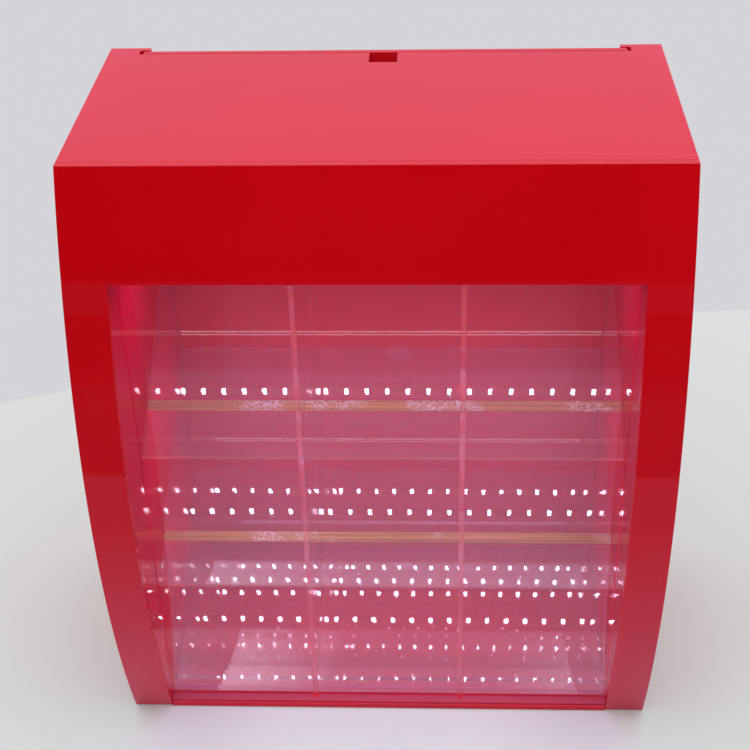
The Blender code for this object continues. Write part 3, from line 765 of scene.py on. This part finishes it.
def frosted_edge():
    """Sawn rear edge of the light plate, with a painted glow, by emission, in place of the light
    carried in the sheet.
    """
    material, tree, output = blank_material("clear sawn edge")
    where = node(tree, "ShaderNodeTexCoord", (-900, 0))
    saw = node(tree, "ShaderNodeTexNoise", (-600, 0), Scale=300.0, Detail=3.0)
    tree.links.new(where.outputs["Object"], saw.inputs["Vector"])
    tone = blend_colours(tree, saw.outputs["Fac"], (0.92, 0.90, 0.93), (0.80, 0.76, 0.82))
    shader = node(tree, "ShaderNodeBsdfPrincipled", (0, 0), Roughness=0.6)
    shader.inputs["Emission Strength"].default_value = EDGE_GLOW
    tree.links.new(tone, shader.inputs["Base Color"])
    tree.links.new(tone, shader.inputs["Emission Color"])
    tree.links.new(shader.outputs[0], output.inputs[0])
    return material


# Painted glow: the shelf edges emit a pale pink and the divider edges a dark red.
shelf_edge = scraped_edge("clear shelf edge", (0.86, 0.60, 0.60), (0.74, 0.50, 0.50), 0.06)
divider_edge = scraped_edge("clear divider edge", (0.50, 0.050, 0.055), (0.42, 0.040, 0.045), 0.30)
# The feet of the front sheet and the bottom shelf take the floor strip's painted shade and haze.
edge_finishes = [shelf_edge, cemented_on_red("clear edge on red", RED_INSIDE), cement_line(),
                 frosted_edge(), cemented_on_red("clear foot painted haze", FOOT_SHADE_AND_HAZE)]
clear_finishes = [clear_acrylic("clear polished face", 1.0, 0.0)] + edge_finishes
divider_face = clear_acrylic("clear divider face", 1.0, 0.0, DIVIDER_TINT, DIVIDER_TINT)
divider_finishes = [divider_face, divider_edge] + edge_finishes[1:]
shelf_finishes = [clear_acrylic("clear shelf face", SHELF_CLARITY, 1.0)] + edge_finishes


def clear_piece(name, node_name, outline, walls, ends, start, end, finishes=clear_finishes):
    """A clear sheet that stands for a frame node: an outline (y, z) carried along x from start to
    end. walls gives the finish of the wall that leaves each point, and ends that of both ends.
    Its scraped and sawn edges are broken."""
    y, z = np.asarray(outline, float).T
    count = len(y)
    points = np.concatenate([np.stack([np.full(count, x), y, z], -1) for x in (start, end)])
    ring = np.arange(count)
    after = np.roll(ring, -1)
    area = np.sum(y * z[after] - y[after] * z)
    sides = np.stack([ring, after, after + count, ring + count], -1)
    faces = [ring.tolist(), (ring[::-1] + count).tolist()] + sides[:, ::-1].tolist()
    if area > 0:
        faces = [face[::-1] for face in faces]
    item = add_object(name, points, faces, finishes, [ends, ends] + list(walls))
    free = {edge for face in item.data.polygons if face.material_index in (SCRAPED, FROSTED)
            for edge in face.edge_keys}
    weight = [float(tuple(sorted(edge.vertices)) in free) for edge in item.data.edges]
    item.data.attributes.new("bevel_weight_edge", "FLOAT", "EDGE").data.foreach_set("value", weight)
    bevel = item.modifiers.new("scraped corners", "BEVEL")
    bevel.width = CLEAR_EASED
    bevel.segments = 1
    bevel.limit_method = "WEIGHT"
    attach(item, "case")
    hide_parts(node_name)


between_sides = (END_GAP - inside, inside - END_GAP)
sine, cosine, gradient = math.sin(SLOPE), math.cos(SLOPE), math.tan(SLOPE)
drop = CLEAR / cosine
low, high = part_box("front_window")
foot = low.z
tall = (high.z - low.z - CLEAR * math.sin(LEAN)) / math.cos(LEAN)
sheet_sine, sheet_cosine = math.sin(LEAN), math.cos(LEAN)
foot_front = high.y - CLEAR * sheet_cosine
corners = np.array([(0, 0), (CLEAR, 0), (CLEAR, tall), (0, tall)])
clear_piece("clear_front", "front_window",
            np.stack([foot_front + corners @ (sheet_cosine, -sheet_sine),
                      foot + corners @ (sheet_sine, sheet_cosine)], -1),
            [PAINTED_HAZE_FOOT, POLISHED, CEMENTED, POLISHED], ON_RED, *between_sides)

low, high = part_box("light_plate")
clear_piece("clear_light_plate", "light_plate",
            [(low.y, low.z), (high.y - PLATE_CHAMFER, low.z), (high.y, low.z + PLATE_CHAMFER),
             (high.y, high.z), (low.y, high.z)],
            [POLISHED, FROSTED, SCRAPED, POLISHED, SCRAPED], ON_RED, *between_sides)

shelf_line = {}
for tier in ("top", "middle", "bottom"):
    low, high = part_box("shelf_" + tier)
    shelf_line[tier] = (high.y, high.z)
    rear = [(high.y, high.z), (high.y, high.z - drop)]
    if tier == "bottom":
        nose = high.y + (low.z + SHELF_NOSE - high.z) / gradient
        leaves = high.y + (low.z + drop - high.z) / gradient
        outline = [(leaves, low.z), (nose, low.z), (nose, low.z + SHELF_NOSE)] + rear
        walls = [PAINTED_HAZE_FOOT, SCRAPED, POLISHED, CEMENTED, POLISHED]
    else:
        edge = high.z + (low.y - high.y) * gradient
        outline = [(low.y + CLEAR * sine, edge - CLEAR * cosine), (low.y, edge)] + rear
        walls = [SCRAPED, POLISHED, CEMENTED, POLISHED]
    clear_piece("clear_shelf_" + tier, "shelf_" + tier, outline, walls, ON_RED, *between_sides,
                shelf_finishes)


def line_at(tier, depth):
    """Height of a shelf's upper face at a depth."""
    rear_y, rear_z = shelf_line[tier]
    return rear_z + gradient * (depth - rear_y)


def slotted_edge(near, far, under, slope_angle):
    """Upper edge of a divider from back to front, with the slot that lets the tape pass. under
    gives the height of what lies above at a depth."""
    half_slot = SLOT_WIDTH / 2 * math.cos(slope_angle)
    centre = front + TAPE_SETBACK
    depths = np.array([far, centre + half_slot, centre + half_slot, centre - half_slot,
                       centre - half_slot, near])
    drops = np.array([0, 0, SLOT_DEPTH, SLOT_DEPTH, 0, 0])
    return np.stack([depths, under(depths) - drops], -1)


lift = SEAT / cosine
slot_walls = [CEMENTED, SCRAPED, SCRAPED, SCRAPED, CEMENTED, SCRAPED]
for tier, above in (("top", None), ("middle", "top"), ("bottom", "middle")):
    for hand in ("left", "right"):
        low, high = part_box("divider_" + tier + "_" + hand)
        if above is None:
            upper = slotted_edge(low.y, high.y, lambda y: np.full_like(y, high.z), 0.0)
        else:
            upper = slotted_edge(low.y, high.y, lambda y: line_at(above, y) - drop - lift, SLOPE)
        if tier == "bottom":
            before_nose = nose - SEAT
            lower = [(low.y, low.z), (before_nose, low.z),
                     (before_nose, line_at(tier, before_nose) + lift)]
            walls = [ON_RED, CEMENTED, CEMENTED, SCRAPED]
        else:
            lower = [(low.y, line_at(tier, low.y) + lift)]
            walls = [CEMENTED, SCRAPED]
        lower.append((high.y, line_at(tier, high.y) + lift))
        clear_piece("clear_divider_" + tier + "_" + hand, "divider_" + tier + "_" + hand,
                    np.concatenate([lower, upper]), walls + slot_walls, POLISHED, low.x, high.x,
                    divider_finishes)


# Light tapes: a thin amber film with copper lands, white chips soldered to it, and a gummed back
# that sticks it under the plate and the two upper shelves. Gum and air bubbles show through.
FILM = 0.0004
TAPE_WIDTH = 0.008
CHIP_LENGTH = 0.0035
CHIP_WIDTH = 0.0028
CHIP_HEIGHT = 0.0016
PITCH_OF_CHIPS = 0.01667
TAPE_SHIFT = {"top": -0.0018, "middle": -0.0010, "bottom": -0.0005}
LIT_LENGTH = 0.0031
LIT_WIDTH = 0.0024
LIT_RECESS = 0.0001
CHIP_TAPER = 0.98
LAND_OVERLAP = 0.0002
LAND_DROP = -0.0003
LAND_SIZE = (0.0006, 0.0022, 0.0006)
RIM_STEPS = 16
RIM_POWER = 6
GLOW = (0.82, 0.80, 1.0)
GLOW_STRENGTH = 60.0
TAPE_POWER = {"top": 0.20, "middle": 0.13, "bottom": 0.05}
TAPE_LIGHT = (1.08, 0.54, 1.35)
LAMP_CENTRE = 0.50
LAMP_SPAN = 0.62
TAPE_TILT = {"top": 0.0, "middle": SLOPE, "bottom": SLOPE}


def gummed_back():
    """Amber film seen through its gum: copper tracks along it, and flat air bubbles in patches."""
    material, tree, output = blank_material("tape gummed back")
    where = node(tree, "ShaderNodeTexCoord", (-900, 0))
    tracks = node(tree, "ShaderNodeMapping", (-700, 0))
    tracks.inputs["Scale"].default_value = (6, 900, 900)
    tree.links.new(where.outputs["Object"], tracks.inputs["Vector"])
    lines = node(tree, "ShaderNodeTexNoise", (-500, 0), Scale=1.0, Detail=2.0)
    tree.links.new(tracks.outputs[0], lines.inputs["Vector"])
    stretch = node(tree, "ShaderNodeMapping", (-700, -300))
    stretch.inputs["Scale"].default_value = (300, 500, 500)
    tree.links.new(where.outputs["Object"], stretch.inputs["Vector"])
    cells = node(tree, "ShaderNodeTexVoronoi", (-500, -300), Scale=1.0, Randomness=1.0,
                 feature="DISTANCE_TO_EDGE")
    tree.links.new(stretch.outputs[0], cells.inputs["Vector"])
    patch = node(tree, "ShaderNodeTexNoise", (-500, -600), Scale=22.0, Detail=2.0)
    tree.links.new(where.outputs["Object"], patch.inputs["Vector"])
    base = blend_colours(tree, soft_step(tree, lines.outputs["Fac"], 0.38, 0.62),
                         (0.47, 0.185, 0.034), (0.72, 0.340, 0.075))
    rim = arithmetic(tree, "MULTIPLY", soft_step(tree, cells.outputs["Distance"], 0.10, 0.03),
                     soft_step(tree, patch.outputs["Fac"], 0.56, 0.64))
    colour = blend_colours(tree, rim, base, (0.86, 0.74, 0.66))
    shader = node(tree, "ShaderNodeBsdfPrincipled", (0, 0), Roughness=0.35)
    tree.links.new(colour, shader.inputs["Base Color"])
    tree.links.new(shader.outputs[0], output.inputs[0])
    return material


def film_front():
    """Amber film with copper lands beside each chip."""
    material, tree, output = blank_material("tape film front")
    where = node(tree, "ShaderNodeTexCoord", (-900, 0))
    parts = node(tree, "ShaderNodeSeparateXYZ", (-700, 0))
    tree.links.new(where.outputs["Object"], parts.inputs[0])
    along = node(tree, "ShaderNodeMath", (-500, 0), operation="PINGPONG")
    along.inputs[1].default_value = PITCH_OF_CHIPS / 2
    tree.links.new(parts.outputs["X"], along.inputs[0])
    land = soft_step(tree, along.outputs[0], 0.0035, 0.0031)
    colour = blend_colours(tree, land, (0.55, 0.30, 0.08), (0.80, 0.48, 0.28))
    shader = node(tree, "ShaderNodeBsdfPrincipled", (0, 0), Roughness=0.3)
    tree.links.new(colour, shader.inputs["Base Color"])
    tree.links.new(shader.outputs[0], output.inputs[0])
    return material


def plain_finish(name, colour, roughness, metallic=0.0):
    """A simple finish with a little unevenness of tone and gloss."""
    material, tree, output = blank_material(name)
    where = node(tree, "ShaderNodeTexCoord", (-700, 0))
    noise = node(tree, "ShaderNodeTexNoise", (-500, 0), Scale=400.0, Detail=3.0)
    tree.links.new(where.outputs["Object"], noise.inputs["Vector"])
    darker = tuple(value * 0.8 for value in colour)
    tone = blend_colours(tree, noise.outputs["Fac"], colour, darker)
    shader = node(tree, "ShaderNodeBsdfPrincipled", (0, 0), Metallic=metallic)
    rough = node(tree, "ShaderNodeMapRange", (-300, -200))
    rough.inputs["To Min"].default_value = roughness
    rough.inputs["To Max"].default_value = roughness + 0.1
    tree.links.new(noise.outputs["Fac"], rough.inputs["Value"])
    tree.links.new(rough.outputs[0], shader.inputs["Roughness"])
    tree.links.new(tone, shader.inputs["Base Color"])
    tree.links.new(shader.outputs[0], output.inputs[0])
    return material


def glowing_lens():
    """Lit face of a chip."""
    material, tree, output = blank_material("lit chip face")
    shader = node(tree, "ShaderNodeBsdfPrincipled", (0, 0), Roughness=0.4)
    shader.inputs["Base Color"].default_value = (0.9, 0.85, 0.5, 1)
    shader.inputs["Emission Color"].default_value = (*GLOW, 1)
    shader.inputs["Emission Strength"].default_value = GLOW_STRENGTH
    tree.links.new(shader.outputs[0], output.inputs[0])
    return material


tape_back = gummed_back()
tape_front = film_front()
chip_body = plain_finish("chip housing", (0.86, 0.86, 0.84), 0.35)
chip_face = glowing_lens()
solder = plain_finish("solder", (0.75, 0.75, 0.77), 0.25, 1.0)


def rounded_plan(length, width):
    """Ring of points (x, y) on a rounded rectangle: a superellipse of the sixth power, met at
    evenly turned directions."""
    angles = 2 * math.pi * (np.arange(RIM_STEPS) + 0.5) / RIM_STEPS
    ray = np.stack([np.cos(angles), np.sin(angles)], -1)
    power = np.sum(np.abs(ray / (length / 2, width / 2)) ** RIM_POWER, axis=1)
    return ray * power[:, None] ** (-1 / RIM_POWER)


def chip_shape():
    """One chip about its seat, hanging down: a housing with rounded corners round a lit face that
    lies a little inside its rim. Returns points, faces and material slots."""
    levels = [(rounded_plan(CHIP_LENGTH, CHIP_WIDTH), 0.0),
              (rounded_plan(CHIP_LENGTH * CHIP_TAPER, CHIP_WIDTH * CHIP_TAPER), -CHIP_HEIGHT),
              (rounded_plan(LIT_LENGTH, LIT_WIDTH), -CHIP_HEIGHT),
              (rounded_plan(LIT_LENGTH * CHIP_TAPER, LIT_WIDTH * CHIP_TAPER),
               -CHIP_HEIGHT + LIT_RECESS)]
    points = np.concatenate([np.column_stack([plan, np.full(RIM_STEPS, z)])
                             for plan, z in levels])
    step = np.arange(RIM_STEPS)
    after = np.roll(step, -1)
    faces = []
    slots = []
    for level in range(len(levels) - 1):
        base = level * RIM_STEPS
        walls = np.stack([base + step, base + RIM_STEPS + step, base + RIM_STEPS + after,
                          base + after], -1)
        faces += walls.tolist()
        slots += [0] * RIM_STEPS
    faces.append((3 * RIM_STEPS + step)[::-1].tolist())
    slots.append(1)
    faces.append(step.tolist())
    slots.append(0)
    return points, faces, slots


def block_shape(centre, size):
    """Points and faces of a small block with its faces out."""
    corner = np.array([(x, y, z) for x in (-.5, .5) for y in (-.5, .5) for z in (-.5, .5)])
    faces = [(0, 1, 3, 2), (4, 6, 7, 5), (0, 4, 5, 1), (2, 3, 7, 6), (0, 2, 6, 4), (1, 5, 7, 3)]
    return corner * size + centre, faces


def repeated(points, faces, slots, shifts):
    """Copies of a small shape at many places along x, as one set of arrays."""
    all_points = (points[None] + shifts[:, None]).reshape(-1, 3)
    all_faces = []
    for copy in range(len(shifts)):
        all_faces += [[corner + copy * len(points) for corner in face] for face in faces]
    return all_points, all_faces, list(slots) * len(shifts)


def turned_x(points, angle):
    """Points turned about the x axis."""
    matrix = np.array(Matrix.Rotation(angle, 3, "X"))
    return points @ matrix.T


def shine_down(tier, place, tilt, reach):
    """The tape's light on the walls: two long soft lamps just under its chips, one for each
    half, seen in no mirror."""
    for half_of_tape in (-1, 1):
        lamp = bpy.data.lights.new("tape light " + tier, "AREA")
        lamp.shape = "RECTANGLE"
        lamp.size = LAMP_SPAN * reach
        lamp.size_y = TAPE_WIDTH
        lamp.energy = TAPE_POWER[tier] / 2
        lamp.color = TAPE_LIGHT
        light = bpy.data.objects.new("tape light " + tier, lamp)
        aside = half_of_tape * LAMP_CENTRE * reach
        below = Vector(place) + Matrix.Rotation(tilt, 3, "X") @ Vector((aside, 0, -2 * CHIP_HEIGHT))
        light.matrix_world = Matrix.Translation(below) @ Matrix.Rotation(tilt, 4, "X")
        light.visible_camera = False
        light.visible_glossy = False
        light.visible_transmission = False
        bpy.context.scene.collection.objects.link(light)


for tier, tilt in TAPE_TILT.items():
    low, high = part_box("led_tape_" + tier)
    half = high.x
    centre_y = front + TAPE_SETBACK
    if tilt:
        line = line_at("top" if tier == "middle" else "middle", centre_y)
        middle_z = line - (CLEAR + SEAT + FILM / 2) / math.cos(tilt)
    else:
        middle_z = high.z - FILM / 2
    seat = np.array([0, centre_y, middle_z])
    count = int((2 * half - CHIP_LENGTH) / PITCH_OF_CHIPS) + 1
    places = (np.arange(count) - (count - 1) / 2) * PITCH_OF_CHIPS + TAPE_SHIFT[tier]
    shifts = np.stack([places, 0 * places, 0 * places - FILM / 2], -1)
    film_points, film_faces = block_shape(np.zeros(3), (2 * half, TAPE_WIDTH, FILM))
    film = add_object("tape_film_" + tier, turned_x(film_points, tilt) + seat, film_faces,
                      [tape_back, tape_front], [0, 0, 0, 0, 1, 0])
    points, faces, slots = repeated(*chip_shape(), shifts)
    chips = add_object("tape_chips_" + tier, turned_x(points, tilt) + seat, faces,
                       [chip_body, chip_face], slots)
    parts = []
    for end in (-1, 1):
        offset = np.array([end * (CHIP_LENGTH / 2 + LAND_OVERLAP), 0, LAND_DROP])
        parts.append(block_shape(offset, LAND_SIZE))
    pad_points = np.concatenate([part[0] for part in parts])
    pad_faces = parts[0][1] + [[corner + 8 for corner in face] for face in parts[1][1]]
    points, faces, slots = repeated(pad_points, pad_faces, [0] * len(pad_faces), shifts)
    lands = add_object("tape_solder_" + tier, turned_x(points, tilt) + seat, faces, [solder],
                       slots)
    for item in (film, chips, lands):
        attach(item, "case")
    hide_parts("led_tape_" + tier)
    shine_down(tier, seat, tilt, half)


# Power inlet and nut at the right rear, and the black leads in the hollow side. Moulded black
# barrel, whose plated pin takes the barrel's black finish here, and a plated ring nut behind the
# spacer.
black = plain_finish("black moulding", (0.025, 0.025, 0.027), 0.35)
plated = plain_finish("nickel plate", (0.75, 0.73, 0.69), 0.18, 1.0)
sheath = plain_finish("black lead sheath", (0.02, 0.02, 0.022), 0.4)
for name, material in (("power_jack", black), ("jack_nut", plated), ("lead_top", sheath),
                       ("lead_middle", sheath), ("lead_bottom", sheath)):
    nodes[name].data.materials.clear()
    nodes[name].data.materials.append(material)
